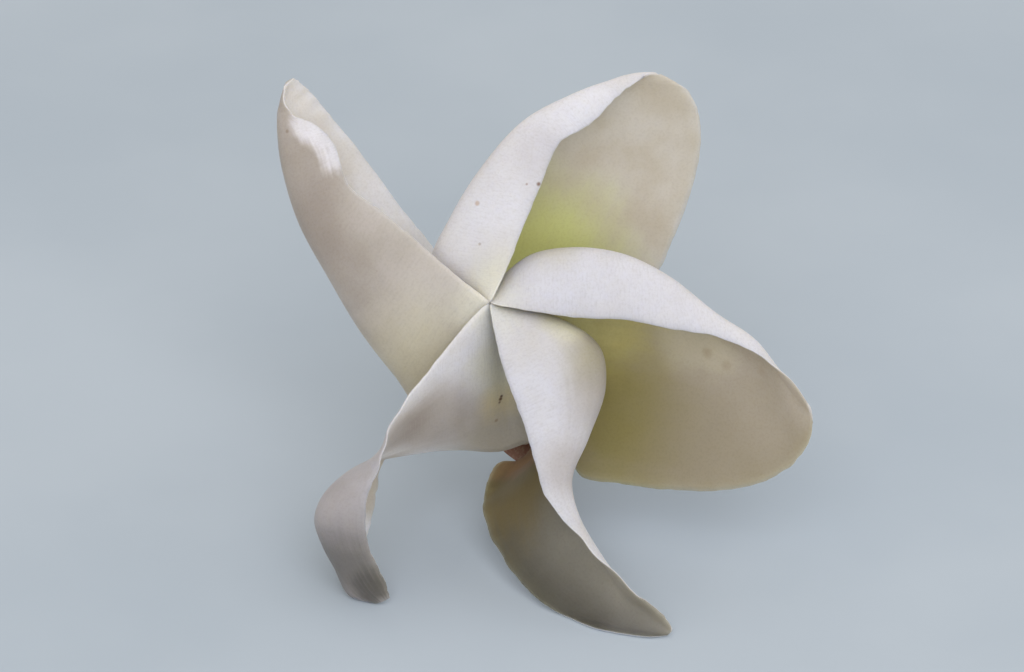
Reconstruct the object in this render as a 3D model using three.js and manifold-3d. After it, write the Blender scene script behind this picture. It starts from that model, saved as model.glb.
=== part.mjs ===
// A plumeria bloom of the Texas Lantern kind, picked and laid on its side. Its five petals are rolled like
// the vanes of a toy windmill: each folds its inner half over the front as a lip, and shows the hollow face
// of its outer half beyond the lip's margin. Each lip lies over the fold of the next petal, clockwise round
// the star.
//
// Millimetres. The petals are laid out in the face frame: x to the right and y up across the face, z out of
// it, with the star where the five lips meet at the origin. The bloom is then tipped over onto the surface.
import * as THREE from "three";
import { mergeVertices } from "three/addons/utils/BufferGeometryUtils.js";
import Module from "manifold-3d";

const wasm = await Module();
wasm.setup();

// Driving sizes of the blades
const bladeThickness = 0.6;
const seatGap = 0.3;
const rowsPerStation = 3;
const lipStrips = 6;
const bodyStrips = 9;

// The mouth of the tube, deep behind the face, and the way that the tube leaves it. A petal's foot stands
// over the tube's rim, and winds outward from one end to the other like a blade of a camera's iris.
const tubeWay = new THREE.Vector3(0.15, -0.15, -0.977).normalize();
const mouth = new THREE.Vector3(5.4, -16, -22);
const openedStations = [0.5, 2.5];
const tipStations = 3;

// How round a section is, as shares of the lip's or the body's width
const roundness = { lipCrown: 0.12, foldFront: 0.35, foldBack: 0.3, belly: 0.08 };

// The margins run in low waves, a little over three rows long, which die out across a few strips
const rippleShares = [1, 0.5, 0.15];
const rippleTurn = 1.9;

// The corolla tube, under the petals' feet, and the calyx on its short cut stalk
const rimDrop = 0.7;
const rimRadius = 4.8;
const rimBore = 1.8;
const rimDepth = 0.6;
const throatRadius = 2.9;
const tubeRadius = 1.9;
const tubeBore = 1.1;
const tubeLength = 10.5;
const calyxRadius = 2.65;
const calyxHeight = 2.5;
const calyxLobe = 1;
const stalkRadius = 1.05;
const stalkEnd = 15.8;
const sidesRound = 20;

// How the bloom lies: the face leans back from level, and the surface is this far under the star. What
// would reach under the surface is flat there.
const leanBack = 57;
const starHeight = 36.45;
const surfaceSize = 160;

const paint = (colour, roughness) =>
  new THREE.MeshStandardMaterial({ color: colour, roughness, metalness: 0 });

// Each line runs from the hidden edge of the blade, behind the star, to the petal's tip. The points with the
// same index lie on one section across the blade: the margin of the lip, the fold, and the outer margin. The
// second section reaches the star. The outer margin starts with the two ends of the petal's foot, which sweep
// degrees round the mouth from the petal's own turn. A neck rounds the blade outward between its foot and
// the star.
const petals = [
  {
    name: "petal_upper_left",
    turn: 144,
    ripple: 0.2,
    foot: [{ radius: 2.3, sweep: 62 }, { radius: 4.2, sweep: 10 }],
    inner: [
      [-1.6, -0.9, -4.4], [-1.04, 0.78, -0.3], [-3.9, 3.1, -1.1], [-8.75, 7.4, -1.8], [-13.6, 11.5, -2.2],
      [-17.9, 15, -3.4], [-19.6, 20, -5], [-22.2, 22.6, -6.2], [-24.6, 23.6, -6.6], [-26, 25.2, -7.2],
      [-26.1, 27.4, -8],
    ],
    fold: [
      [-0.2, -6.3, -9.5], [-8.5, -12.9, -11.5], [-12, -9, -11], [-16.4, -3.25, -10.2], [-20, 2.8, -9.4],
      [-24.1, 10.4, -8.8], [-26.2, 17.5, -8.2], [-26.7, 21.6, -8.4], [-26.7, 24, -8.8], [-26.2, 26.2, -9.3],
      [-25.6, 27.98, -8.5],
    ],
    outer: [
      [-7.1, 6.75, -18.5], [-10.5, 11, -16.5], [-13.8, 15.5, -14.6], [-17.6, 20.6, -12.5],
      [-20.6, 24.2, -11.4], [-22, 25.9, -10.8], [-23.2, 27.2, -10.2], [-24.2, 28.1, -9.4],
      [-24.9, 28.5, -8.8],
    ],
  },
  {
    name: "petal_top",
    turn: 72,
    ripple: 0.2,
    foot: [{ radius: 2.4, sweep: 75 }, { radius: 4.2, sweep: 10 }],
    inner: [
      [-0.3, 0.9, -4.2], [0.42, 1.25, -0.3], [2, 4.1, -0.4], [3.8, 8.6, -0.9], [6.2, 14.4, -1.5],
      [8.7, 20, -2.2], [12.75, 22.6, -2.8], [16.2, 26.2, -3.4], [18, 27.5, -4.2], [19.3, 28.5, -5],
    ],
    fold: [
      [-0.2, -3.7, -10], [-4.2, 1, -7.5], [-7.2, 5, -6.8], [-4.9, 10.6, -5.4], [-1.2, 16.6, -4.6],
      [4.2, 22.7, -4.2], [10.2, 26, -4.2], [15.2, 27.9, -5.2], [18.4, 28.8, -5.6], [20.4, 28.9, -5.6],
    ],
    outer: [
      [21.25, 3.9, -17.5], [23.2, 8, -15.8], [25, 12.6, -13.8], [26.4, 18, -11.5], [26.6, 22.8, -9],
      [25.2, 26.5, -7], [23.2, 28, -6.4], [21.6, 28.8, -6.2],
    ],
  },
  {
    name: "petal_right",
    turn: 0,
    ripple: 0.16,
    foot: [{ radius: 2.4, sweep: 75 }, { radius: 4.2, sweep: 10 }],
    neck: { fold: [0, 0, 0], margin: [2, -1, -3] },
    inner: [
      [1.1, 0.5, -3.2], [1.3, -0.15, -0.3], [4.75, -0.9, -1.3], [10.6, -1.8, -1.9], [16.8, -2.1, -1.7],
      [23, -3.3, -1.6], [28.4, -4.2, -2], [33.6, -6.5, -2.4], [38, -9.9, -3], [39.8, -12.5, -3.7],
    ],
    fold: [
      [0.6, 0.8, -7.4], [0.8, 2.2, -5], [5, 5.8, -4.5], [10.5, 6.8, -4.4], [16.6, 6, -4.2],
      [22.4, 3.2, -4], [28, -1.2, -3.8], [33.4, -5, -4.2], [38.4, -11.7, -4.7], [40.35, -13.7, -4.3],
    ],
    outer: [
      [11.4, -21.9, -17.4], [16.8, -23, -16], [22.6, -23.7, -14.2], [28.6, -23.8, -11.8], [34.2, -22.7, -9.2],
      [38.4, -20.1, -6.7], [40.3, -17, -5.1], [40.6, -15, -4.7],
    ],
  },
  {
    name: "petal_lower_right",
    turn: -72,
    ripple: 0.2,
    foot: [{ radius: 1.2, sweep: 120 }, { radius: 4, sweep: -14 }],
    neck: { fold: [2.5, 0.5, -4.5], margin: [4.3, -8.9, -4.5] },
    inner: [
      [1.2, -1.5, -3.4], [0.34, -1.3, -0.3], [0.9, -5.4, -0.5], [2.6, -10.9, -0.8], [4.2, -15.2, -1.2],
      [5.7, -20.2, -1.5], [7, -24.3, -1.8], [9.8, -27.8, -2], [13.4, -31.7, -2], [18.1, -36.2, -2],
      [21.8, -39.2, -1.8], [22.7, -40.6, -1.7],
    ],
    fold: [
      [2.2, -3.4, -7.5], [3, -0.8, -5], [8.9, -2.2, -4.8], [13.6, -5.6, -5.2], [14.3, -10.6, -5.4],
      [12.2, -16.9, -5.2], [10.1, -22.2, -4.6], [11.1, -27, -4.8], [13.9, -31.8, -4.6], [17.8, -37.2, -3.8],
      [21.3, -40.4, -2.6], [22.7, -41.2, -2],
    ],
    outer: [
      [1.2, -20.4, -20.6], [-0.3, -22.6, -19], [-0.9, -25.4, -16.8], [-0.4, -28.4, -14], [1.2, -31.6, -11.4],
      [4, -35.4, -8.8], [8.6, -39.2, -6.2], [14.4, -41.6, -3.4], [20, -42.2, -2.2], [22.2, -41.8, -2.2],
    ],
  },
  {
    name: "petal_lower_left",
    turn: -144,
    ripple: 0.12,
    foot: [{ radius: 2.2, sweep: 30 }, { radius: 3.8, sweep: -10 }],
    inner: [
      [0.9, -3, -4.2], [-1.1, -0.7, -0.3], [-3.4, -3.2, 0], [-6.6, -7.2, 0.4], [-9.8, -11.2, 0.8],
      [-12.4, -15.2, 1], [-13.3, -18.4, 0.8], [-14.2, -21.4, 0.2], [-15.3, -24, -0.6], [-15.6, -26.6, -1.6],
      [-15.4, -29.8, -3], [-14.4, -32.6, -4.6], [-13.2, -35.2, -6.4], [-12.7, -37.2, -7.8],
    ],
    fold: [
      [5.3, -17.3, -15.4], [1, -18.7, -16.2], [-3.6, -18.5, -15.8], [-6.8, -18.6, -15.2], [-9.8, -19, -13.6],
      [-12.6, -19.4, -11], [-15.2, -20, -8.6], [-18.3, -21.7, -6.2], [-21, -24.5, -5], [-21.9, -27.2, -5],
      [-21, -30.4, -6.2], [-19.5, -33.4, -7.8], [-17.7, -36.8, -9], [-14.8, -38.3, -8.9],
    ],
    outer: [
      [-7.5, -13.8, -20.2], [-10, -14.4, -18.2], [-12, -16.2, -15.6], [-13.3, -18.8, -13.2],
      [-14.2, -21.8, -11.4], [-14.5, -24.2, -10.8], [-14.9, -26.6, -10.4], [-15.4, -28.8, -10.4],
      [-16, -31.2, -10.6], [-16, -33.6, -10.9], [-15.4, -36.2, -10.8], [-14.6, -38, -10.2],
    ],
  },
];

// A closed body of triangles
function solid(geometry) {
  geometry.deleteAttribute("normal");
  geometry.deleteAttribute("uv");
  const merged = mergeVertices(geometry, 0.001);
  return new wasm.Manifold(new wasm.Mesh({
    numProp: 3,
    vertProperties: new Float32Array(merged.getAttribute("position").array),
    triVerts: new Uint32Array(merged.getIndex().array),
  }));
}

const point = ([x, y, z]) => new THREE.Vector3(x, y, z);
const degrees = THREE.MathUtils.degToRad;

const faceBack = new THREE.Vector3(0, 0, -1);
const mouthAcross = new THREE.Vector3().crossVectors(new THREE.Vector3(0, -1, 0), tubeWay).normalize();
const mouthUp = new THREE.Vector3().crossVectors(mouthAcross, tubeWay).normalize();

// A point on the rim round the mouth, at an angle counted like the petals' turns in the face
function rimPoint(radius, angle) {
  const place = mouth.clone().addScaledVector(mouthAcross, radius * Math.cos(degrees(angle)));
  return place.addScaledVector(mouthUp, radius * Math.sin(degrees(angle)));
}

function guideLines(petal) {
  const feet = petal.foot.map((end) => rimPoint(end.radius, petal.turn + end.sweep));
  const line = (points) => new THREE.CatmullRomCurve3(points, false, "centripetal");
  return {
    inner: line(petal.inner.map(point)),
    fold: line(petal.fold.map(point)),
    outer: line([...feet, ...petal.outer.map(point)]),
  };
}

const lastStation = (petal) => petal.inner.length - 1;
const { smoothstep } = THREE.MathUtils;

// The way that a section turns at its fold: straight back behind the face, and at the tip, where the fold
// opens out, along the chord from margin to margin
function foldWay(petal, station, inner, outer) {
  const last = lastStation(petal);
  const chord = outer.clone().sub(inner).normalize();
  return faceBack.clone().lerp(chord, smoothstep(station, last - tipStations, last - 1)).normalize();
}

// One section across the blade: the lip from its margin round to the fold, then the body out to its margin
function sectionCurves(petal, lines, station) {
  const along = station / lastStation(petal);
  const inner = lines.inner.getPoint(along);
  const fold = lines.fold.getPoint(along);
  const outer = lines.outer.getPoint(along);
  const way = foldWay(petal, station, inner, outer);
  const opened = smoothstep(station, ...openedStations);
  const lipWidth = inner.distanceTo(fold) * opened;
  const bodyWidth = fold.distanceTo(outer) * opened;
  const straight = 0.35 * (1 - opened);
  const lipCrown = inner.clone().lerp(fold, 0.35).addScaledVector(faceBack, -roundness.lipCrown * lipWidth);
  const foldFront = fold.clone().lerp(inner, straight).addScaledVector(way, -roundness.foldFront * lipWidth);
  const foldBack = fold.clone().lerp(outer, straight).addScaledVector(way, roundness.foldBack * bodyWidth);
  const belly = outer.clone().lerp(fold, 0.35).addScaledVector(way, roundness.belly * bodyWidth);
  if (petal.neck) {
    foldBack.addScaledVector(point(petal.neck.fold), smoothstep(station, 0, 1) - smoothstep(station, 1, 2));
    belly.addScaledVector(point(petal.neck.margin), smoothstep(station, 0, 1) - smoothstep(station, 2, 5));
  }
  return {
    lip: new THREE.CubicBezierCurve3(inner, lipCrown, foldFront, fold),
    body: new THREE.CubicBezierCurve3(fold, foldBack, belly, outer),
  };
}

// The middle surface of a blade, as rows of points from the tube's mouth to the tip
function bladeRows(petal) {
  const lines = guideLines(petal);
  const rows = rowsPerStation * lastStation(petal);
  const grid = [];
  for (let i = 0; i <= rows; i += 1) {
    const curves = sectionCurves(petal, lines, i / rowsPerStation);
    const row = [];
    for (let j = 0; j <= lipStrips; j += 1) {
      row.push(curves.lip.getPoint(j / lipStrips));
    }
    for (let j = 1; j <= bodyStrips; j += 1) {
      row.push(curves.body.getPoint(j / bodyStrips));
    }
    grid.push(row);
  }
  return grid;
}

// The low waves of both margins, out of the blade's face, from where the petal leaves the star to its tip
function rippled(petal, grid) {
  const shifts = grid.map((row, i) => row.map((_, j) => {
    const fromMargin = Math.min(j, row.length - 1 - j);
    const station = i / rowsPerStation;
    const last = lastStation(petal);
    const started = smoothstep(station, 2, 4) * (1 - smoothstep(station, last - 2, last - 1));
    const wave = Math.sin(rippleTurn * i + petal.turn + (j < lipStrips ? 0 : 1.5));
    const height = (rippleShares[fromMargin] ?? 0) * petal.ripple * started * wave;
    return surfaceNormal(grid, i, j).multiplyScalar(height);
  }));
  return grid.map((row, i) => row.map((place, j) => place.clone().add(shifts[i][j])));
}

function surfaceNormal(grid, i, j) {
  const above = grid[Math.min(i + 1, grid.length - 1)][j];
  const below = grid[Math.max(i - 1, 0)][j];
  const right = grid[i][Math.min(j + 1, grid[i].length - 1)];
  const left = grid[i][Math.max(j - 1, 0)];
  const along = new THREE.Vector3().subVectors(above, below);
  const across = new THREE.Vector3().subVectors(right, left);
  return along.cross(across).normalize();
}

// The sheet with its thickness: the same triangles on both faces, joined round the rim
function thickSheet(grid) {
  const rows = grid.length;
  const columns = grid[0].length;
  const positions = [];
  for (const side of [0.5, -0.5]) {
    for (let i = 0; i < rows; i += 1) {
      for (let j = 0; j < columns; j += 1) {
        const shift = surfaceNormal(grid, i, j).multiplyScalar(side * bladeThickness);
        positions.push(...grid[i][j].clone().add(shift).toArray());
      }
    }
  }
  const front = (i, j) => i * columns + j;
  const back = (i, j) => rows * columns + front(i, j);
  const index = [];
  for (let i = 0; i + 1 < rows; i += 1) {
    for (let j = 0; j + 1 < columns; j += 1) {
      index.push(front(i, j), front(i + 1, j), front(i + 1, j + 1));
      index.push(front(i, j), front(i + 1, j + 1), front(i, j + 1));
      index.push(back(i, j), back(i + 1, j + 1), back(i + 1, j));
      index.push(back(i, j), back(i, j + 1), back(i + 1, j + 1));
    }
  }
  const rim = [];
  for (let j = 0; j + 1 < columns; j += 1) rim.push([0, j]);
  for (let i = 0; i + 1 < rows; i += 1) rim.push([i, columns - 1]);
  for (let j = columns - 1; j > 0; j -= 1) rim.push([rows - 1, j]);
  for (let i = rows - 1; i > 0; i -= 1) rim.push([i, 0]);
  rim.forEach(([i, j], k) => {
    const [m, n] = rim[(k + 1) % rim.length];
    index.push(front(i, j), front(m, n), back(m, n));
    index.push(front(i, j), back(m, n), back(i, j));
  });
  const geometry = new THREE.BufferGeometry();
  geometry.setAttribute("position", new THREE.Float32BufferAttribute(positions, 3));
  geometry.setIndex(index);
  return solid(geometry);
}

// A round body on the tube's own axis, from radii and distances behind the mouth
function turned(profile) {
  const points = profile.map(([radius, behind]) => new THREE.Vector2(radius, -behind));
  return new THREE.LatheGeometry(points, sidesRound);
}

function ontoTube(geometry) {
  const turn = new THREE.Quaternion().setFromUnitVectors(new THREE.Vector3(0, -1, 0), tubeWay);
  geometry.applyQuaternion(turn);
  geometry.translate(...mouth.toArray());
  return solid(geometry);
}

function tubeSolid() {
  const base = rimDrop + tubeLength;
  return ontoTube(turned([
    [0, base],
    [1.1, base],
    [1.5, base - 1.5],
    [tubeRadius, base - 3.5],
    [tubeRadius, rimDrop + 5],
    [throatRadius, rimDrop + 2.4],
    [rimRadius, rimDrop + rimDepth],
    [rimRadius, rimDrop],
    [rimBore, rimDrop],
    [tubeBore, rimDrop + 3.5],
    [tubeBore, base - 3.5],
    [0, base - 2.5],
  ]));
}

// The calyx is a cup round the tube's base, with five low lobes along its edge
function calyxSolid() {
  const base = rimDrop + tubeLength;
  const floor = base + seatGap;
  const edge = floor - calyxHeight;
  const geometry = turned([
    [0, stalkEnd],
    [stalkRadius, stalkEnd],
    [stalkRadius, floor + 1.4],
    [2.2, floor + 0.4],
    [calyxRadius, edge],
    [calyxRadius - 0.35, edge],
    [1.75, floor],
    [0, floor],
  ]);
  const place = geometry.getAttribute("position");
  for (let i = 0; i < place.count; i += 1) {
    if (Math.abs(place.getY(i) + edge) < 0.001) {
      const lobe = 0.5 + 0.5 * Math.cos(petals.length * Math.atan2(place.getX(i), place.getZ(i)));
      place.setY(i, place.getY(i) + calyxLobe * lobe);
    }
  }
  return ontoTube(geometry);
}

// The solid as it lies on the surface: what would reach under it is cut off level
function laidDown(standing) {
  const tipped = standing.rotate([leanBack, 0, 0]).translate([0, 0, starHeight]);
  const under = wasm.Manifold.cube([surfaceSize, surfaceSize, surfaceSize], true);
  const cut = tipped.subtract(under.translate([0, 0, -surfaceSize / 2])).getMesh();
  const laid = new THREE.BufferGeometry();
  laid.setAttribute("position", new THREE.BufferAttribute(new Float32Array(cut.vertProperties), 3));
  laid.setIndex(Array.from(cut.triVerts));
  laid.computeVertexNormals();
  return laid;
}

const bloom = new THREE.Group();

function addPiece(name, standing, material) {
  const mesh = new THREE.Mesh(laidDown(standing), material);
  mesh.name = name;
  bloom.add(mesh);
}

for (const petal of petals) {
  addPiece(petal.name, thickSheet(rippled(petal, bladeRows(petal))), paint(0xf3f0ee, 0.55));
}
addPiece("corolla_tube", tubeSolid(), paint(0xd9c9b8, 0.6));
addPiece("calyx", calyxSolid(), paint(0x7c8f58, 0.6));

// The origin is under the middle of the bloom
const box = new THREE.Box3().setFromObject(bloom);
const middle = box.getCenter(new THREE.Vector3());
bloom.children.forEach((mesh) => mesh.geometry.translate(-middle.x, -middle.y, -box.min.z));

export default bloom;
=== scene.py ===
"""A plumeria bloom of the Texas Lantern kind, picked and laid on its side on a pale table.

Lengths are in millimetres, and the petals' lines are in the face frame: x to the right and y up
across the flower's face, z out of it, with the star where the five lips meet at the origin.
FACE_TO_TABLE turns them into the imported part's frame, which is in metres.
"""

import math

import bmesh
import bpy
import numpy as np
from mathutils import Matrix, Vector


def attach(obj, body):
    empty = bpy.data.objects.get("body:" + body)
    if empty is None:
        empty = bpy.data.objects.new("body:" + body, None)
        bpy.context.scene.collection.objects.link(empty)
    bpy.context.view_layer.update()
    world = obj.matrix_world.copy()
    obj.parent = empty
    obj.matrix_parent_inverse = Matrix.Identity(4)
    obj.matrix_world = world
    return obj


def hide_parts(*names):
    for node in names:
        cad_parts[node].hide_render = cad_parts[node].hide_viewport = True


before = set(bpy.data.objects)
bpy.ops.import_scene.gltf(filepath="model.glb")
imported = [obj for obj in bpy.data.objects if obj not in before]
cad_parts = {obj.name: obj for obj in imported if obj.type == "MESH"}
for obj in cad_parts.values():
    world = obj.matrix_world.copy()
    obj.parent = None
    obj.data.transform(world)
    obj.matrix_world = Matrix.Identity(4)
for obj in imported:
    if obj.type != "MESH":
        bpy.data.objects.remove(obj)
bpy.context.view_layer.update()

# A metre in millimetres
METRE = 1000

# How the bloom lies: its face leans back from level, and the star is here in the part's frame
LEAN_BACK = math.radians(57)
STAR = Vector((-0.006834, -0.001205, 0.03645))
FACE_TO_TABLE = (
    Matrix.Translation(STAR) @ Matrix.Rotation(LEAN_BACK, 4, "X") @ Matrix.Scale(1 / METRE, 4)
)
TABLE_UP = np.array((0, math.sin(LEAN_BACK), math.cos(LEAN_BACK)))

# The tube's mouth, behind the face, and the way that the tube leaves it
MOUTH = Vector((5.4, -16, -22))
TUBE_WAY = Vector((0.15, -0.15, -0.977)).normalized()
MOUTH_ACROSS = Vector((0, -1, 0)).cross(TUBE_WAY).normalized()
MOUTH_UP = MOUTH_ACROSS.cross(TUBE_WAY).normalized()

# A blade is this thick in its middle and at its margins, and thins over about its last 2 mm
BLADE_THICKNESS = 0.5
MARGIN_THICKNESS = 0.15
THINNING_WIDTH = 0.7

# How finely a blade is drawn: rows from one station of its lines to the next, and strips across
ROWS_A_STATION = 12
LIP_STRIPS = 28
BODY_STRIPS = 44

# How round a section is, as shares of the lip's or the body's width. The points that draw its
# curves stand this share of the way in from the curves' ends.
ROUNDNESS = {"lip_crown": 0.12, "fold_front": 0.35, "fold_back": 0.3, "belly": 0.08}
CURVE_REACH = 0.35

# The stations over which the straight foot opens into lip and body, and over which a neck comes,
# leaves the fold and leaves the margin. A tip starts to flatten this many stations before its end.
OPENED_STATIONS = (0.5, 2.5)
NECK_COMES = (0, 1)
NECK_LEAVES_FOLD = (1, 2)
NECK_LEAVES_MARGIN = (2, 5)
TIP_STATIONS = 3

# The lips' margins reach the star at their second point. There they come this share of the way
# closer together than the solids do.
STAR_STATION = 1
STAR_CLOSING = 0.9

# The margins' low waves: how far they turn from station to station, and how far the outer margin's
# are ahead of the lip's, how far in they reach, and where they start, and end before the tip
RIPPLE_TURN = 5.7
RIPPLE_LEAD = 1.5
RIPPLE_WIDTH = 1.3
RIPPLE_STARTS = (2, 4)
RIPPLE_ENDS = (2, 1)

# The finer raggedness of a petal's edge: how deep it is, how far in it reaches, and what shares a
# row takes from its two neighbours and from itself
RAG_DEPTH = 0.055
RAG_WIDTH = 0.6
RAG_SHARES = (0.25, 0.5, 0.25)
RAG_SEED = 11

# A blade that would reach under the table lies along it instead, with its middle this far above,
# and this is how softly it bends into that
LYING_HEIGHT = 0.27
LYING_EASE = 0.3

# Each line runs from the hidden edge of the blade, behind the star, to the tip. The points with
# the same index lie on one section: the margin of the lip, the fold and the outer margin. The
# outer margin starts with two points of the foot round the mouth, each a radius and a sweep from
# the petal's own turn. The ripple is the height of the margins' waves. A neck pushes the blade
# outward by this much at its fold and its margin, between its foot and the star.
PETALS = {
    "petal_upper_left": {
        "turn": 144,
        "ripple": 0.17,
        "foot": ((2.3, 62), (4.2, 10)),
        "inner": [
            (-1.6, -0.9, -4.4), (-1.04, 0.78, -0.3), (-3.9, 3.1, -1.1), (-8.75, 7.4, -1.8),
            (-13.6, 11.5, -2.2), (-17.9, 15, -3.4), (-19.6, 20, -5), (-22.2, 22.6, -6.2),
            (-24.6, 23.6, -6.6), (-26, 25.2, -7.2), (-26.1, 27.4, -8),
        ],
        "fold": [
            (-0.2, -6.3, -9.5), (-8.5, -12.9, -11.5), (-12, -9, -11), (-16.4, -3.25, -10.2),
            (-20, 2.8, -9.4), (-24.1, 10.4, -8.8), (-26.2, 17.5, -8.2), (-26.7, 21.6, -8.4),
            (-26.7, 24, -8.8), (-26.2, 26.2, -9.3), (-25.6, 27.98, -8.5),
        ],
        "outer": [
            (-7.1, 6.75, -18.5), (-10.5, 11, -16.5), (-13.8, 15.5, -14.6), (-17.6, 20.6, -12.5),
            (-20.6, 24.2, -11.4), (-22, 25.9, -10.8), (-23.2, 27.2, -10.2), (-24.2, 28.1, -9.4),
            (-24.9, 28.5, -8.8),
        ],
    },
    "petal_top": {
        "turn": 72,
        "ripple": 0.17,
        "foot": ((2.4, 75), (4.2, 10)),
        "inner": [
            (-0.3, 0.9, -4.2), (0.42, 1.25, -0.3), (2, 4.1, -0.4), (3.8, 8.6, -0.9),
            (6.2, 14.4, -1.5), (8.7, 20, -2.2), (12.75, 22.6, -2.8), (16.2, 26.2, -3.4),
            (18, 27.5, -4.2), (19.3, 28.5, -5),
        ],
        "fold": [
            (-0.2, -3.7, -10), (-4.2, 1, -7.5), (-7.2, 5, -6.8), (-4.9, 10.6, -5.4),
            (-1.2, 16.6, -4.6), (4.2, 22.7, -4.2), (10.2, 26, -4.2), (15.2, 27.9, -5.2),
            (18.4, 28.8, -5.6), (20.4, 28.9, -5.6),
        ],
        "outer": [
            (21.25, 3.9, -17.5), (23.2, 8, -15.8), (25, 12.6, -13.8), (26.4, 18, -11.5),
            (26.6, 22.8, -9), (25.2, 26.5, -7), (23.2, 28, -6.4), (21.6, 28.8, -6.2),
        ],
    },
    "petal_right": {
        "turn": 0,
        "ripple": 0.136,
        "foot": ((2.4, 75), (4.2, 10)),
        "neck": {"fold": (0, 0, 0), "margin": (2, -1, -3)},
        "inner": [
            (1.1, 0.5, -3.2), (1.3, -0.15, -0.3), (4.75, -0.9, -1.3), (10.6, -1.8, -1.9),
            (16.8, -2.1, -1.7), (23, -3.3, -1.6), (28.4, -4.2, -2), (33.6, -6.5, -2.4),
            (38, -9.9, -3), (39.8, -12.5, -3.7),
        ],
        "fold": [
            (0.6, 0.8, -7.4), (0.8, 2.2, -5), (5, 5.8, -4.5), (10.5, 6.8, -4.4), (16.6, 6, -4.2),
            (22.4, 3.2, -4), (28, -1.2, -3.8), (33.4, -5, -4.2), (38.4, -11.7, -4.7),
            (40.35, -13.7, -4.3),
        ],
        "outer": [
            (11.4, -21.9, -17.4), (16.8, -23, -16), (22.6, -23.7, -14.2), (28.6, -23.8, -11.8),
            (34.2, -22.7, -9.2), (38.4, -20.1, -6.7), (40.3, -17, -5.1), (40.6, -15, -4.7),
        ],
    },
    "petal_lower_right": {
        "turn": -72,
        "ripple": 0.17,
        "foot": ((1.2, 120), (4, -14)),
        "neck": {"fold": (2.5, 0.5, -4.5), "margin": (4.3, -8.9, -4.5)},
        "inner": [
            (1.2, -1.5, -3.4), (0.34, -1.3, -0.3), (0.9, -5.4, -0.5), (2.6, -10.9, -0.8),
            (4.2, -15.2, -1.2), (5.7, -20.2, -1.5), (7, -24.3, -1.8), (9.8, -27.8, -2),
            (13.4, -31.7, -2), (18.1, -36.2, -2), (21.8, -39.2, -1.8), (22.7, -40.6, -1.7),
        ],
        "fold": [
            (2.2, -3.4, -7.5), (3, -0.8, -5), (8.9, -2.2, -4.8), (13.6, -5.6, -5.2),
            (14.3, -10.6, -5.4), (12.2, -16.9, -5.2), (10.1, -22.2, -4.6), (11.1, -27, -4.8),
            (13.9, -31.8, -4.6), (17.8, -37.2, -3.8), (21.3, -40.4, -2.6), (22.7, -41.2, -2),
        ],
        "outer": [
            (1.2, -20.4, -20.6), (-0.3, -22.6, -19), (-0.9, -25.4, -16.8), (-0.4, -28.4, -14),
            (1.2, -31.6, -11.4), (4, -35.4, -8.8), (8.6, -39.2, -6.2), (14.4, -41.6, -3.4),
            (20, -42.2, -2.2), (22.2, -41.8, -2.2),
        ],
    },
    "petal_lower_left": {
        "turn": -144,
        "ripple": 0.102,
        "foot": ((2.2, 30), (3.8, -10)),
        "inner": [
            (0.9, -3, -4.2), (-1.1, -0.7, -0.3), (-3.4, -3.2, 0), (-6.6, -7.2, 0.4),
            (-9.8, -11.2, 0.8), (-12.4, -15.2, 1), (-13.3, -18.4, 0.8), (-14.2, -21.4, 0.2),
            (-15.3, -24, -0.6), (-15.6, -26.6, -1.6), (-15.4, -29.8, -3), (-14.4, -32.6, -4.6),
            (-13.2, -35.2, -6.4), (-12.7, -37.2, -7.8),
        ],
        "fold": [
            (5.3, -17.3, -15.4), (1, -18.7, -16.2), (-3.6, -18.5, -15.8), (-6.8, -18.6, -15.2),
            (-9.8, -19, -13.6), (-12.6, -19.4, -11), (-15.2, -20, -8.6), (-18.3, -21.7, -6.2),
            (-21, -24.5, -5), (-21.9, -27.2, -5), (-21, -30.4, -6.2), (-19.5, -33.4, -7.8),
            (-17.7, -36.8, -9), (-14.8, -38.3, -8.9),
        ],
        "outer": [
            (-7.5, -13.8, -20.2), (-10, -14.4, -18.2), (-12, -16.2, -15.6), (-13.3, -18.8, -13.2),
            (-14.2, -21.8, -11.4), (-14.5, -24.2, -10.8), (-14.9, -26.6, -10.4),
            (-15.4, -28.8, -10.4), (-16, -31.2, -10.6), (-16, -33.6, -10.9), (-15.4, -36.2, -10.8),
            (-14.6, -38, -10.2),
        ],
    },
}


def smoothstep(x, start, end):
    """Rises softly from 0 to 1 between the start and the end."""
    t = np.clip((x - start) / (end - start), 0, 1)
    return t * t * (3 - 2 * t)


def line_point(points, share):
    """A point on the smooth centripetal line through the points, at a share of its stations."""
    p = (len(points) - 1) * share
    i = min(int(p), len(points) - 2)
    w = p - i
    x1, x2 = points[i], points[i + 1]
    x0 = points[i - 1] if i else 2 * points[0] - points[1]
    x3 = points[i + 2] if i + 2 < len(points) else 2 * points[-1] - points[-2]
    pairs = ((x0, x1), (x1, x2), (x2, x3))
    gap0, gap1, gap2 = (math.sqrt(np.linalg.norm(b - a)) for a, b in pairs)
    start = ((x1 - x0) / gap0 - (x2 - x0) / (gap0 + gap1) + (x2 - x1) / gap1) * gap1
    end = ((x2 - x1) / gap1 - (x3 - x1) / (gap1 + gap2) + (x3 - x2) / gap2) * gap1
    squared = 3 * (x2 - x1) - 2 * start - end
    cubed = 2 * (x1 - x2) + start + end
    return x1 + start * w + squared * w**2 + cubed * w**3


def outward(turn):
    """The way out from the tube's axis, at a turn counted like the petals' own in the face."""
    return MOUTH_ACROSS * math.cos(turn) + MOUTH_UP * math.sin(turn)


def bent(ends, strips):
    """Points along the cubic curve from the first end to the last, drawn by the two between."""
    t = np.linspace(0, 1, strips + 1)[:, None]
    a, b, c, d = ends
    return a * (1 - t) ** 3 + 3 * b * (1 - t) ** 2 * t + 3 * c * (1 - t) * t**2 + d * t**3


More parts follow.
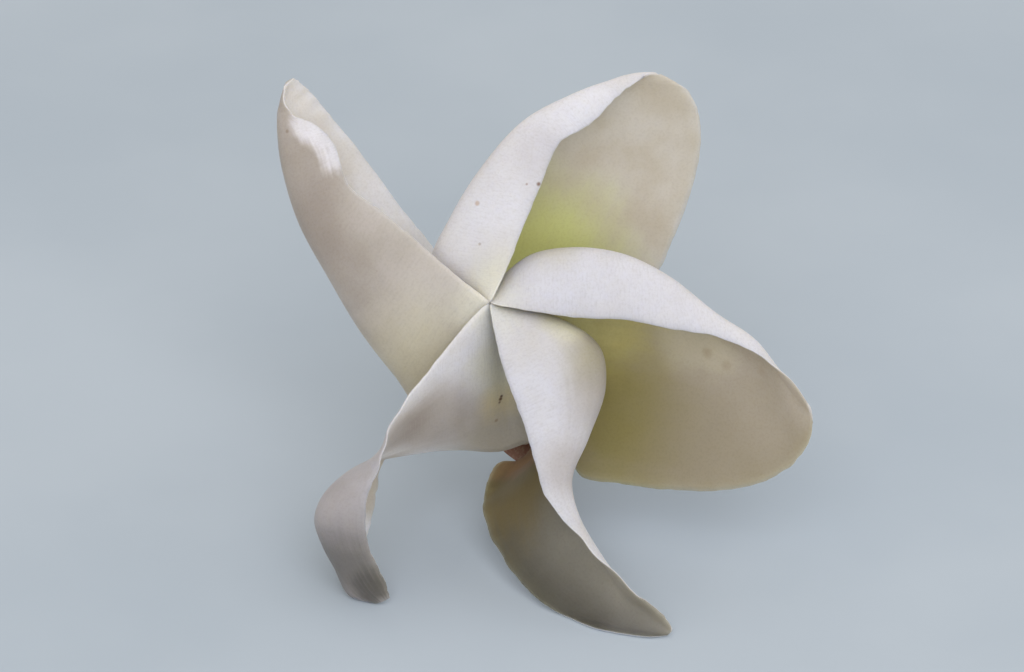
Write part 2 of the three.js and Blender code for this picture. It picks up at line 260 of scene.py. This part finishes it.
def section(petal, lines, station):
    """One section across the blade: the lip from its margin round to the fold, then the body."""
    last = len(petal["inner"]) - 1
    inner, fold, outer = (line_point(line, station / last) for line in lines)
    chord = (outer - inner) / np.linalg.norm(outer - inner)
    back = np.array((0, 0, -1.0))
    way = back + (chord - back) * smoothstep(station, last - TIP_STATIONS, last - 1)
    way = way / np.linalg.norm(way)
    opened = smoothstep(station, *OPENED_STATIONS)
    foot_reach = CURVE_REACH * (1 - opened)
    lip_width = np.linalg.norm(inner - fold) * opened
    body_width = np.linalg.norm(fold - outer) * opened
    lip_crown = inner + (fold - inner) * CURVE_REACH - back * ROUNDNESS["lip_crown"] * lip_width
    fold_front = fold + (inner - fold) * foot_reach - way * ROUNDNESS["fold_front"] * lip_width
    fold_back = fold + (outer - fold) * foot_reach + way * ROUNDNESS["fold_back"] * body_width
    belly = outer + (fold - outer) * CURVE_REACH + way * ROUNDNESS["belly"] * body_width
    if "neck" in petal:
        push = {end: np.array(way_out) for end, way_out in petal["neck"].items()}
        come = smoothstep(station, *NECK_COMES)
        fold_back = fold_back + push["fold"] * (come - smoothstep(station, *NECK_LEAVES_FOLD))
        belly = belly + push["margin"] * (come - smoothstep(station, *NECK_LEAVES_MARGIN))
    lip = bent((inner, lip_crown, fold_front, fold), LIP_STRIPS)
    body = bent((fold, fold_back, belly, outer), BODY_STRIPS)
    return np.concatenate((lip, body[1:]))


def blade_grid(petal):
    """The middle surface of a blade, as rows of points from the tube's mouth to the tip."""
    inner = np.array(petal["inner"], float)
    inner[STAR_STATION, :2] *= 1 - STAR_CLOSING
    foot = []
    for radius, sweep in petal["foot"]:
        foot.append(MOUTH + outward(math.radians(petal["turn"] + sweep)) * radius)
    lines = inner, np.array(petal["fold"], float), np.concatenate((foot, petal["outer"]))
    last = len(inner) - 1
    stations = np.linspace(0, last, last * ROWS_A_STATION + 1)
    return np.array([section(petal, lines, station) for station in stations]), stations


def lengthened(vectors):
    """The same ways, each one unit long."""
    return vectors / np.maximum(np.linalg.norm(vectors, axis=2, keepdims=True), 1e-9)


def grid_normals(grid):
    """The way out of the blade's outside, at each point."""
    return lengthened(np.cross(np.gradient(grid, axis=0), np.gradient(grid, axis=1)))


def margin_distance(grid):
    """How far each point is from the nearer margin, along its row."""
    steps = np.linalg.norm(np.diff(grid, axis=1), axis=2)
    from_lip = np.concatenate((np.zeros((len(grid), 1)), np.cumsum(steps, axis=1)), axis=1)
    return np.minimum(from_lip, from_lip[:, -1:] - from_lip)


def rippled(petal, grid, stations, random):
    """The grid with the margins' low waves, and the finer raggedness of a petal's edge."""
    rows, columns, _ = grid.shape
    ends = (stations[-1] - station for station in RIPPLE_ENDS)
    risen = smoothstep(stations, *RIPPLE_STARTS) * (1 - smoothstep(stations, *ends))
    distance = margin_distance(grid)
    outer_half = np.arange(columns) > columns / 2
    turn = RIPPLE_TURN * stations[:, None] + petal["turn"] + RIPPLE_LEAD * outer_half[None, :]
    reach = np.exp(-distance / RIPPLE_WIDTH)
    lift = petal["ripple"] * risen[:, None] * np.sin(turn) * reach
    rag = [np.convolve(random.normal(size=rows), RAG_SHARES, "same") for _ in range(2)]
    rag = np.array(rag).T[:, outer_half.astype(int)]
    pull = rag * RAG_DEPTH * np.exp(-distance / RAG_WIDTH)
    across = lengthened(np.gradient(grid, axis=1))
    return grid + grid_normals(grid) * lift[..., None] + across * pull[..., None]


def rested(grid):
    """The grid with what would reach under the table bent up to lie along it."""
    height = grid @ TABLE_UP + STAR.z * METRE
    free = height - LYING_HEIGHT
    lying = LYING_HEIGHT + (free + np.sqrt(free**2 + LYING_EASE**2)) / 2
    return grid + (lying - height)[..., None] * TABLE_UP


def blade_faces(rows, columns):
    """The faces of a closed blade: its outside, its inside, and the margin between them."""
    count = rows * columns
    faces = []
    for i in range(rows - 1):
        for j in range(columns - 1):
            a = i * columns + j
            b, c, d = a + columns, a + columns + 1, a + 1
            faces.append((a, b, c, d))
            faces.append((a + count, d + count, c + count, b + count))
    rim = list(range(columns - 1))
    rim += [i * columns + columns - 1 for i in range(rows - 1)]
    rim += [(rows - 1) * columns + j for j in range(columns - 1, 0, -1)]
    rim += [i * columns for i in range(rows - 1, 0, -1)]
    for a, b in zip(rim, rim[1:] + rim[:1]):
        faces.append((a, b, b + count, a + count))
    return faces


# The lip is this share of a blade's flat width
FOLD_SHARE = 0.4


def blade_mesh(name, petal, random):
    """A closed blade. Its map "blade" runs across from lip to margin and along from foot to tip,
    and its "inner_side" is 1 on the face that is hollow."""
    grid, stations = blade_grid(petal)
    grid = rested(rippled(petal, grid, stations, random))
    rows, columns, _ = grid.shape
    thinned = np.exp(-margin_distance(grid) / THINNING_WIDTH)
    half = (BLADE_THICKNESS - (BLADE_THICKNESS - MARGIN_THICKNESS) * thinned)[..., None] / 2
    normals = grid_normals(grid)
    sides = (grid + normals * half, grid - normals * half)
    points = np.concatenate([side.reshape(-1, 3) for side in sides])
    mesh = bpy.data.meshes.new(name)
    laid = [FACE_TO_TABLE @ Vector(point) for point in points]
    mesh.from_pydata(laid, [], blade_faces(rows, columns))

    count = rows * columns
    lip_share = np.linspace(0, FOLD_SHARE, LIP_STRIPS + 1)
    across = np.concatenate((lip_share, np.linspace(FOLD_SHARE, 1, BODY_STRIPS + 1)[1:]))
    across, along = np.tile(across, rows), np.repeat(stations / stations[-1], columns)
    corner = np.zeros(len(mesh.loops), int)
    mesh.loops.foreach_get("vertex_index", corner)
    place = np.stack((across[corner % count], along[corner % count]), axis=1)
    blade_map = mesh.uv_layers.new(name="blade")
    blade_map.data.foreach_set("uv", place.astype(np.float32).ravel())
    inner_side = mesh.attributes.new("inner_side", "FLOAT", "POINT")
    inner_side.data.foreach_set("value", np.repeat((0, 1), count).astype(np.float32))
    return mesh


# The tube and the calyx, turned on the tube's own axis: radii and distances behind the mouth
SIDES_ROUND = 120
TUBE_PROFILE = [
    (0, 11.2), (1.05, 11.2), (1.3, 10.6), (1.5, 9.7), (1.75, 8.6), (1.88, 7.7), (1.9, 5.8),
    (1.95, 5.1), (2.2, 4.1), (2.88, 3.1), (3.7, 2.0), (4.5, 0.9), (4.72, 0.4), (4.7, 0.12),
    (4.55, 0.04), (1.9, 0.04), (1.78, 0.2), (1.5, 2), (1.15, 4), (1.1, 5), (1.1, 7.7), (0.9, 8.5),
    (0, 8.7),
]
CALYX_PROFILE = [
    (0, 15.8), (0.95, 15.8), (1.05, 15.7), (1.05, 14.2), (1.04, 13.2), (1.15, 12.8), (1.6, 12.3),
    (2.15, 11.9), (2.45, 11.1), (2.6, 10), (2.64, 9.1), (2.55, 9), (2.35, 9.05), (2.25, 9.6),
    (2.05, 10.5), (1.78, 11.45), (1.7, 11.5), (0, 11.5),
]

# Low ribs run along both, this high as a share of the radius. The calyx's edge rises in lobes,
# which die out between its edge and its floor.
RIBS_ROUND = 10
TUBE_RIBS = 0.012
CALYX_RIBS = 0.02
LOBES_ROUND = 5
CALYX_LOBE = 1
CALYX_EDGE = 9
CALYX_FLOOR = 11


def turned_mesh(name, profile, ribs, lobe):
    """A ribbed round body on the tube's axis, with lobes of this height along its edge."""
    points, faces, rings = [], [], []
    for radius, behind in profile:
        if radius == 0:
            rings.append([len(points)])
            points.append(MOUTH + TUBE_WAY * behind)
            continue
        rings.append(list(range(len(points), len(points) + SIDES_ROUND)))
        near_edge = 1 - float(smoothstep(behind, CALYX_EDGE, CALYX_FLOOR))
        for k in range(SIDES_ROUND):
            turn = 2 * math.pi * k / SIDES_ROUND
            rise = lobe * near_edge * (1 + math.cos(LOBES_ROUND * turn)) / 2
            ribbed = radius * (1 + ribs * math.cos(RIBS_ROUND * turn))
            points.append(MOUTH + TUBE_WAY * (behind - rise) + outward(turn) * ribbed)
    for low, high in zip(rings, rings[1:]):
        for k in range(SIDES_ROUND):
            n = (k + 1) % SIDES_ROUND
            if len(low) == 1:
                faces.append((low[0], high[k], high[n]))
            elif len(high) == 1:
                faces.append((low[k], high[0], low[n]))
            else:
                faces.append((low[k], high[k], high[n], low[n]))
    laid = [FACE_TO_TABLE @ point for point in points]
    mesh = bpy.data.meshes.new(name)
    mesh.from_pydata([(p.x, p.y, max(p.z, 0)) for p in laid], [], faces)
    shell = bmesh.new()
    shell.from_mesh(mesh)
    bmesh.ops.recalc_face_normals(shell, faces=shell.faces)
    shell.to_mesh(mesh)
    shell.free()
    return mesh


def linear(code):
    """A colour from its sRGB hex value."""
    parts = [int(code[k : k + 2], 16) / 255 for k in (1, 3, 5)]
    parts = [p / 12.92 if p <= 0.04045 else ((p + 0.055) / 1.055) ** 2.4 for p in parts]
    return (*parts, 1.0)


def empty_material(name):
    """A material with no nodes yet, and its tree."""
    material = bpy.data.materials.new(name)
    material.use_nodes = True
    material.node_tree.nodes.clear()
    return material, material.node_tree


def node(tree, kind, inputs=None, output=0, **settings):
    """Adds a node and returns one of its outputs. An input is a value, or another's output."""
    new = tree.nodes.new(kind)
    for key, value in settings.items():
        setattr(new, key, value)
    for socket, value in (inputs or {}).items():
        if isinstance(value, bpy.types.NodeSocket):
            tree.links.new(value, new.inputs[socket])
        else:
            new.inputs[socket].default_value = value
    return new.outputs[output] if new.outputs else new


def noise_scale(size):
    """The scale of a noise whose spots are this wide, on a surface laid out in metres."""
    return METRE / size


def tinted(tree, colour, tint, pattern, spread, depths, **blend):
    """A tint over a colour. Its depth goes from the first to the last as the pattern goes through
    its spread."""
    depth = {0: pattern, 1: spread[0], 2: spread[1], 3: depths[0], 4: depths[1]}
    depth = node(tree, "ShaderNodeMapRange", depth, interpolation_type="SMOOTHSTEP")
    layers = {0: depth, 6: colour, 7: linear(tint)}
    return node(tree, "ShaderNodeMix", layers, 2, data_type="RGBA", **blend)


def stained_and_shaded(tree, place, colour, fray, stains):
    """Stains and painted light and shade over a colour, their edges moved in and out by the fray.
    """
    for middle, full, faded, depth, stain in stains:
        away = {0: place, 1: FACE_TO_TABLE @ Vector(middle)}
        away = node(tree, "ShaderNodeVectorMath", away, "Value", operation="DISTANCE")
        if fray is not None:
            away = node(tree, "ShaderNodeMath", {0: away, 1: fray}, operation="ADD")
        fading = (full / METRE, faded / METRE)
        colour = tinted(tree, colour, stain, away, fading, (depth, 0.0))
    return colour


# A blade is about this long and wide when it is laid flat
BLADE_LENGTH = 50
BLADE_WIDTH = 34

# The sizes of the petals' patterns, and of the tube's and the calyx's. The real ribs and the
# tissue's grain are finer, too fine to show, so both are drawn as coarse as they need.
VEIN_GAP, VEIN_RUN = 0.8, 20
RIB_GAP, RIB_RUN = 0.25, 1.6
GRAIN_SIZE = 0.3
TISSUE_CLOUD_SIZE = 6
STREAK_GAP, STREAK_RUN = 0.25, 5
SKIN_CLOUD_SIZE = 3

# A noise's values bunch round a half. Its clouds, fine lines and grain come up over these.
CLOUD_SPREAD = (0.3, 0.7)
LINE_SPREAD = (0.45, 0.75)
GRAIN_SPREAD = (0.4, 0.75)
GRAIN_DEPTH = 0.18
GRAIN_RELIEF = 0.5

# A stain's edge is frayed over this much by the clouds and a little by the veins, and less so on
# the lips. The middle is what leaves the stain as large as it was.
FRAY_REACH = 8
FRAY_VEIN_SHARE = 0.35
FRAY_MIDDLE = FRAY_REACH * (1 + FRAY_VEIN_SHARE) / 2
LIP_FRAY = 0.45


def petal_tissue(name, look):
    """Fresh plumeria petal: thick, waxy and full of air, so that it glows a little and shines
    softly. Its outside has fine ribs across the lip. Its inside has faint long veins, which carry
    the throat's stain out of the tube in frayed streaks."""
    material, tree = empty_material(name)
    place = node(tree, "ShaderNodeTexCoord", output="Object")
    blade = node(tree, "ShaderNodeUVMap", uv_map="blade")
    across = node(tree, "ShaderNodeSeparateXYZ", {0: blade})
    inner_side = node(tree, "ShaderNodeAttribute", output="Fac", attribute_name="inner_side")

    # A noise stretched along the blade draws the veins, and one stretched across it the ribs
    stretched = []
    for width, length in ((VEIN_GAP, VEIN_RUN), (RIB_RUN, RIB_GAP)):
        spread = {0: blade, "Scale": (BLADE_WIDTH / width, BLADE_LENGTH / length, 1)}
        spread = node(tree, "ShaderNodeMapping", spread)
        stretched.append(node(tree, "ShaderNodeTexNoise", {0: spread, "Scale": 1.0, "Detail": 2.0}))
    vein, rib = stretched
    grain = {0: place, "Scale": noise_scale(GRAIN_SIZE), "Detail": 2.0}
    grain = node(tree, "ShaderNodeTexNoise", grain)
    cloud = {0: place, "Scale": noise_scale(TISSUE_CLOUD_SIZE), "Detail": 3.0}
    cloud = node(tree, "ShaderNodeTexNoise", cloud)

    fray = {0: vein, 1: FRAY_VEIN_SHARE, 2: cloud}
    fray = node(tree, "ShaderNodeMath", fray, operation="MULTIPLY_ADD")
    fray = {0: fray, 1: FRAY_REACH / METRE, 2: -FRAY_MIDDLE / METRE}
    fray = node(tree, "ShaderNodeMath", fray, operation="MULTIPLY_ADD")
    lip_fray = node(tree, "ShaderNodeMath", {0: fray, 1: LIP_FRAY}, operation="MULTIPLY")
    sides = []
    for side, lines, edge in (("outside", rib, lip_fray), ("inside", vein, fray)):
        pale, shade, streak, depth = look[side]
        colour = tinted(tree, linear(pale), shade, cloud, CLOUD_SPREAD, (0.0, 1.0))
        # A side's margin tint is painted shade, darker towards the blade's outer margin.
        if side + "_margin" in look:
            margin, start, margin_depth = look[side + "_margin"]
            colour = tinted(tree, colour, margin, across, (start, 1.0), (0.0, margin_depth))
        colour = stained_and_shaded(tree, place, colour, edge, look[side + "_stains_and_painted_shading"])
        sides.append(tinted(tree, colour, streak, lines, LINE_SPREAD, (0.0, depth)))
    colour = {0: inner_side, 6: sides[0], 7: sides[1]}
    colour = node(tree, "ShaderNodeMix", colour, 2, data_type="RGBA")
    depths = (0.0, GRAIN_DEPTH)
    colour = tinted(tree, colour, "#cfc8c2", grain, GRAIN_SPREAD, depths, blend_type="MULTIPLY")
    colour = stained_and_shaded(tree, place, colour, None, look["bruises"])

    relief = node(tree, "ShaderNodeMix", {0: inner_side, 2: rib, 3: vein})
    relief = {0: grain, 1: GRAIN_RELIEF, 2: relief}
    relief = node(tree, "ShaderNodeMath", relief, operation="MULTIPLY_ADD")
    bump = {"Height": relief, "Strength": 0.3, "Distance": 0.05 / METRE}
    tissue = {
        "Base Color": colour,
        "Normal": node(tree, "ShaderNodeBump", bump),
        "Roughness": 0.55,
        "IOR": 1.42,
        "Subsurface Weight": 0.8,
        "Subsurface Radius": (1.0, 0.9, 0.65),
        "Subsurface Scale": 2.6 / METRE,
        "Sheen Weight": 0.1,
        "Sheen Roughness": 0.5,
    }
    node(tree, "ShaderNodeOutputMaterial", {0: node(tree, "ShaderNodeBsdfPrincipled", tissue)})
    return material


# The turn of the noise that draws the skin's streaks. It only picks their places: the streaks run
# up and down as the bloom lies.
STREAK_TURN = TUBE_WAY.to_track_quat("Z", "Y").to_euler().x - LEAN_BACK


def plant_skin(name, deep, pale, streak_depth, stains=()):
    """Smooth skin over a firm tube or stem: matt, softly clouded, with the patches it is given and
    with fine pale streaks. On the tube the patch is partly painted shade."""
    material, tree = empty_material(name)
    place = node(tree, "ShaderNodeTexCoord", output="Object")
    sizes = [noise_scale(size) for size in (STREAK_GAP, STREAK_GAP, STREAK_RUN)]
    streak = {0: place, "Rotation": (STREAK_TURN, 0, 0), "Scale": sizes}
    streak = {0: node(tree, "ShaderNodeMapping", streak), "Scale": 1.0, "Detail": 3.0}
    streak = node(tree, "ShaderNodeTexNoise", streak)
    cloud = {0: place, "Scale": noise_scale(SKIN_CLOUD_SIZE), "Detail": 3.0}
    cloud = node(tree, "ShaderNodeTexNoise", cloud)
    colour = tinted(tree, linear(deep), pale, cloud, CLOUD_SPREAD, (0.0, 1.0))
    colour = stained_and_shaded(tree, place, colour, None, stains)
    colour = tinted(tree, colour, "#e2d9b8", streak, LINE_SPREAD, (0.0, streak_depth))
    bump = {"Height": streak, "Strength": 0.4, "Distance": 0.1 / METRE}
    skin = {
        "Base Color": colour,
        "Normal": node(tree, "ShaderNodeBump", bump),
        "Roughness": 0.5,
        "IOR": 1.42,
        "Subsurface Weight": 0.15,
        "Subsurface Scale": 1 / METRE,
    }
    node(tree, "ShaderNodeOutputMaterial", {0: node(tree, "ShaderNodeBsdfPrincipled", skin)})
    return material


# The sizes of what a roller leaves in the board's paint
PAINT_CLOUD_SIZE = 70
NAP_SIZE = 1.1


def painted_board(name):
    """A table board in matt pale paint, with the faint cloudiness and nap that a roller leaves."""
    material, tree = empty_material(name)
    place = node(tree, "ShaderNodeTexCoord", output="Object")
    cloud = {0: place, "Scale": noise_scale(PAINT_CLOUD_SIZE), "Detail": 4.0}
    cloud = node(tree, "ShaderNodeTexNoise", cloud)
    nap = {0: place, "Scale": noise_scale(NAP_SIZE), "Detail": 2.0}
    nap = node(tree, "ShaderNodeTexNoise", nap)
    bump = {"Height": nap, "Strength": 0.1, "Distance": 0.1 / METRE}
    paint = {
        "Base Color": tinted(tree, linear("#b3c0cc"), "#bcc8d3", cloud, CLOUD_SPREAD, (0.0, 1.0)),
        "Normal": node(tree, "ShaderNodeBump", bump),
        "Roughness": 0.75,
    }
    node(tree, "ShaderNodeOutputMaterial", {0: node(tree, "ShaderNodeBsdfPrincipled", paint)})
    return material


# How each petal is coloured, with much of the light and shade that falls on it painted in.
# A side has its pale and shaded tissue, its streaks' colour and their depth. A side's margin
# is painted shade, darker towards the blade's outer margin: it has its colour, the share of the
# blade's width where it starts, and its depth. The stains hold the throat's own yellow-green and
# brown, and many patches of painted shade and painted light; the bruises are real marks. Stains
# and bruises have their middle, how far from it they start to fade and end, their depth and their
# colour.
RIBBED_WHITE = ("#ebe8ec", "#e2dedf", "#bcb6b3", 0.18)
# Painted light: a pale cream glow round the star on each lip, standing in for the light that passes
# through the petals and fills the seams where they meet.
STAR_PAINTED_GLOW = ((0, 0, -2.5), 1, 6.5, 0.85, "#f4efd6")
LOOKS = {
    "petal_upper_left": {
        # Painted shade: this lip faces away from the light, so its outside is painted greyer than
        # the others.
        "outside": ("#aaa4a2", "#a19b97", "#877f79", 0.1),
        "outside_stains_and_painted_shading": [
            # Painted light and shade: paler towards the star, darker towards its left edge, a
            # painted highlight along the lip's strip, a cream-green painted glow near the base,
            # painted highlights on the tip's curl, and the star's painted glow.
            ((-3, 0, -1), 3, 16, 0.75, "#cbc6c1"),
            ((-20.5, 10, -7), 2, 9, 0.6, "#8f8783"),
            ((-14.5, 11.4, -2.6), 0.5, 7.5, 0.35, "#d6d1ce"),
            ((-6.5, -6.5, -8), 3, 13, 0.6, "#ccc6aa"),
            ((-22.9, 22.1, -6.1), 0.8, 2.8, 0.8, "#efecf1"),
            ((-20.9, 20.6, -5.2), 0.8, 2.8, 0.8, "#efecf1"),
            ((-19.3, 18.6, -4.6), 0.8, 2.8, 0.8, "#efecf1"),
            STAR_PAINTED_GLOW,
        ],
        "inside": ("#e9e5e6", "#d8d1cc", "#b9b2a0", 0.05),
        "inside_stains_and_painted_shading": [],
        "bruises": [
            ((-9.4, 5.3, -1.4), 0.12, 0.38, 0.6, "#6e3f2c"),
            ((-14.3, 4, -3.2), 0.1, 0.3, 0.45, "#6e5a3c"),
            ((-12.2, 0.4, -3.3), 0.1, 0.32, 0.4, "#7d7c4c"),
            ((-25.6, 21.7, -6.6), 0.1, 0.35, 0.4, "#6e5a3c"),
        ],
    },
    "petal_top": {
        "outside": RIBBED_WHITE,
        "outside_stains_and_painted_shading": [
            # Painted light and shade: a cream painted glow by the star, painted shade on the lip's
            # right side, painted light where the upper left lip shades the fold, a painted
            # highlight near the tip, and the star's painted glow.
            ((1.6, 3.2, -0.4), 0.5, 7, 0.5, "#d3cda4"),
            ((6.6, 18.5, -2), 1.5, 6, 0.5, "#c5c1c6"),
            ((-5.8, 6.4, -5), 1, 6, 0.7, "#faf6f4"),
            ((11.3, 24, -3), 1, 6, 0.6, "#fbf9ff"),
            STAR_PAINTED_GLOW,
        ],
        # Painted shade: the inside is painted darker, as it faces down and away from the light. Its
        # stain is the throat's own yellow-green.
        "inside": ("#c6c0ba", "#b9b1a7", "#a09981", 0.05),
        "inside_stains_and_painted_shading": [((6.8, 6, -14.6), 3, 15, 0.95, "#c2c787")],
        "bruises": [
            ((6.1, 14.9, -1.1), 0.2, 0.45, 0.9, "#5c2410"),
            ((4.6, 14.9, -1.2), 0.1, 0.26, 0.6, "#7a4020"),
            ((-1.6, 12.5, -2.1), 0.15, 0.45, 0.55, "#a87c50"),
            ((-1.3, 7.4, -1.3), 0.1, 0.28, 0.45, "#7a5c40"),
        ],
    },
    "petal_right": {
        "outside": RIBBED_WHITE,
        # A beige patch of painted shade where the lip turns away at its fold, and the star's
        # painted glow.
        "outside_stains_and_painted_shading": [((8, 7, -4.6), 1, 5.5, 0.6, "#c4bea6"), STAR_PAINTED_GLOW],
        # Painted shade: the inside is painted darker, as it lies under the lip.
        "inside": ("#a8a099", "#9e968c", "#857d66", 0.06),
        "inside_stains_and_painted_shading": [
            # The yellow-green and olive patches are the throat's own colour, the olive one also
            # painted shade in the hollow. The pale cream patches under the lip and the grey-beige
            # one are painted light, and the grey-brown one is painted shade.
            ((13, -5, -12), 2, 12, 0.6, "#c4bb86"),
            ((16, -14, -14.5), 3, 14, 0.9, "#807843"),
            ((10.2, -2.3, -13.4), 1.5, 6, 0.85, "#f2eab8"),
            ((26, -5, -8), 2, 7, 0.5, "#c3bcaa"),
            ((26, -16, -12), 2, 11, 0.5, "#8b8374"),
            ((13.5, -3, -13.3), 1.5, 8.5, 0.55, "#c8bf82"),
        ],
        # Painted shade, darker towards the outer margin.
        "inside_margin": ("#7d745a", 0.7, 0.45),
        "bruises": [
            ((27.4, -6.3, -9.2), 0.2, 1.1, 0.35, "#8a7862"),
            ((29.8, -7.9, -8.6), 0.2, 1, 0.25, "#82705a"),
            ((34.2, -8.7, -6.4), 0.2, 1, 0.2, "#82705a"),
        ],
    },
    "petal_lower_right": {
        "outside": RIBBED_WHITE,
        # Painted light and shade on the outside: painted shade on the fold side, near the star and
        # down the lower half, a pale yellow patch of painted light in the seam under the right
        # lip's margin, and the star's painted glow. The brown at the neck is the throat's own
        # colour, darkened as painted shade in the deep notch.
        "outside_stains_and_painted_shading": [
            ((13.4, -6.5, -3.8), 1.5, 8.5, 0.85, "#a39b7e"),
            ((8.8, -2.1, -4.2), 1.2, 5, 0.85, "#efe7bd"),
            ((5, -4.5, -2), 1, 6, 0.4, "#cdc6b6"),
            ((12.6, -12.5, -4.4), 1.5, 7, 0.65, "#aaa29c"),
            ((9.6, -20.5, -3), 1, 6.5, 0.65, "#aea6a3"),
            STAR_PAINTED_GLOW,
            ((5.4, -17.5, -20), 3, 9, 0.8, "#8a6c52"),
        ],
        # Painted shade: the inside is painted dark grey, as it lies deep in the shadow of the
        # petals above.
        "inside": ("#8a8883", "#7e7c77", "#6a675e", 0.05),
        "inside_stains_and_painted_shading": [
            # The olive-brown and the brown at the neck are the throat's own colour, painted darker
            # as shade; the grey patch at the tip is painted shade.
            ((2.6, -22, -15), 4, 13, 0.85, "#695d3c"),
            ((4.6, -18.6, -20.5), 2.5, 7, 0.8, "#8a6c52"),
            ((18.6, -40.2, -3), 1.5, 5, 0.6, "#6e6d6a"),
        ],
        # Painted shade, darker towards the outer margin.
        "inside_margin": ("#3d3c36", 0.5, 0.92),
        "bruises": [],
    },
    "petal_lower_left": {
        "outside": RIBBED_WHITE,
        "outside_stains_and_painted_shading": [
            # Painted light and shade on the outside: olive-brown from the throat's own colour and
            # painted shade under the lower right lip, painted shade towards the lower left, a tan
            # patch of painted light and a warm patch of painted shade in the seam under that lip,
            # the star's painted glow, and painted shade on the strip that turns away.
            ((3, -15.5, -13.5), 4, 13, 0.8, "#a39a85"),
            ((-7, -14, -7), 3, 9, 0.75, "#9a918b"),
            ((-10.8, -16.4, -2.5), 1.5, 6.5, 0.7, "#8d8481"),
            ((1.2, -11.6, -9.8), 1, 5, 0.85, "#dccaa2"),
            ((1, -7.5, -6), 2, 6.5, 0.8, "#e6dfc4"),
            STAR_PAINTED_GLOW,
            ((-14.6, -22.4, -10.4), 3, 6.5, 0.8, "#aaa096"),
        ],
        # Painted shade: the ribbon's inside is painted darker than the tissue is.
        "inside": ("#b3b0b6", "#a7a3a7", "#8b8785", 0.08),
        "inside_stains_and_painted_shading": [
            # Painted shade on the lower ribbon and in the hollow of the tip.
            ((-18.5, -33.5, -6), 2, 11, 0.85, "#605f5f"),
            ((-14.8, -36, -7), 0.5, 4.5, 0.8, "#484848"),
        ],
        "bruises": [
            ((1.35, -11.7, -10), 0.12, 0.34, 0.9, "#4a240c"),
            ((1.22, -12.05, -10.2), 0.15, 0.42, 0.9, "#4a240c"),
            ((1.08, -12.45, -10.45), 0.12, 0.34, 0.9, "#4a240c"),
            ((0.7, -14.8, -12), 0.15, 0.4, 0.45, "#7a5230"),
        ],
    },
}

# The brown flush round the tube's rim: partly the tube's own reddish colour, and partly painted
# shade for the deep notch behind the petals.
MOUTH_FLUSH_AND_SHADE = (tuple(MOUTH), 4, 8, 0.9, "#7a523d")


def added(name, data):
    """A new object in the scene."""
    thing = bpy.data.objects.new(name, data)
    bpy.context.scene.collection.objects.link(thing)
    return thing


def placed(name, mesh, material):
    """Sets a piece in the scene, in the place of the solid that it refines."""
    mesh.materials.append(material)
    mesh.polygons.foreach_set("use_smooth", [True] * len(mesh.polygons))
    mesh.update()
    piece = added(name + "_fresh", mesh)
    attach(piece, "root")
    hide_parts(name)


random = np.random.default_rng(RAG_SEED)
for petal_name, petal in PETALS.items():
    tissue = petal_tissue(petal_name + "_tissue", LOOKS[petal_name])
    placed(petal_name, blade_mesh(petal_name, petal, random), tissue)
tube = turned_mesh("corolla_tube", TUBE_PROFILE, TUBE_RIBS, 0)
tube_skin = plant_skin("flushed_tube_skin", "#b98a78", "#cfae9c", 0.15, [MOUTH_FLUSH_AND_SHADE])
placed("corolla_tube", tube, tube_skin)
calyx = turned_mesh("calyx", CALYX_PROFILE, CALYX_RIBS, CALYX_LOBE)
placed("calyx", calyx, plant_skin("green_calyx_skin", "#5f7440", "#8a9a5e", 0.25))

# The table, which reaches this far each way, in metres
TABLE_REACH = 3
table = bpy.data.meshes.new("table")
corners = ((-1, -1), (1, -1), (1, 1), (-1, 1))
table.from_pydata([(x * TABLE_REACH, y * TABLE_REACH, 0) for x, y in corners], [], [(0, 1, 2, 3)])
table.materials.append(painted_board("pale_board_paint"))
added("table", table)


def soft_light(name, way, distance, width, watts, colour):
    """A square lamp, in metres, in a direction of the face frame, turned to the star."""
    lamp = bpy.data.lights.new(name, "AREA")
    lamp.shape = "SQUARE"
    lamp.size = width
    lamp.energy = watts
    lamp.color = linear(colour)[:3]
    direction = (FACE_TO_TABLE.to_3x3() @ Vector(way)).normalized()
    holder = added(name, lamp)
    holder.location = STAR + direction * distance
    holder.rotation_euler = direction.to_track_quat("Z", "Y").to_euler()


soft_light("window_light", (0.06, 0.14, 1), distance=1.3, width=1.2, watts=9.3, colour="#fbfaff")
soft_light("sky_light", (0.3, 0.9, 0.4), distance=1.3, width=1.6, watts=4.9, colour="#f7f8ff")
soft_light("room_light", (-0.7, -0.35, 0.7), distance=1.6, width=1.4, watts=3.3, colour="#fffaf2")

world = bpy.data.worlds.new("pale_room")
world.use_nodes = True
room = world.node_tree.nodes["Background"].inputs
room["Color"].default_value = linear("#f0eae0")
room["Strength"].default_value = 0.61
bpy.context.scene.world = world

# A long lens looks straight at the flower's face, at this point of it and from this far
AIM = Vector((2.75, -4.125, 0))
VIEW_DISTANCE = 711
long_lens = bpy.data.cameras.new("camera")
long_lens.sensor_width = 36
long_lens.lens = 200
long_lens.clip_end = 20
camera = added("camera", long_lens)
camera.location = FACE_TO_TABLE @ (AIM + Vector((0, 0, VIEW_DISTANCE)))
camera.rotation_euler = (LEAN_BACK, 0, 0)
bpy.context.scene.camera = camera
bpy.context.scene.view_settings.view_transform = "Standard"
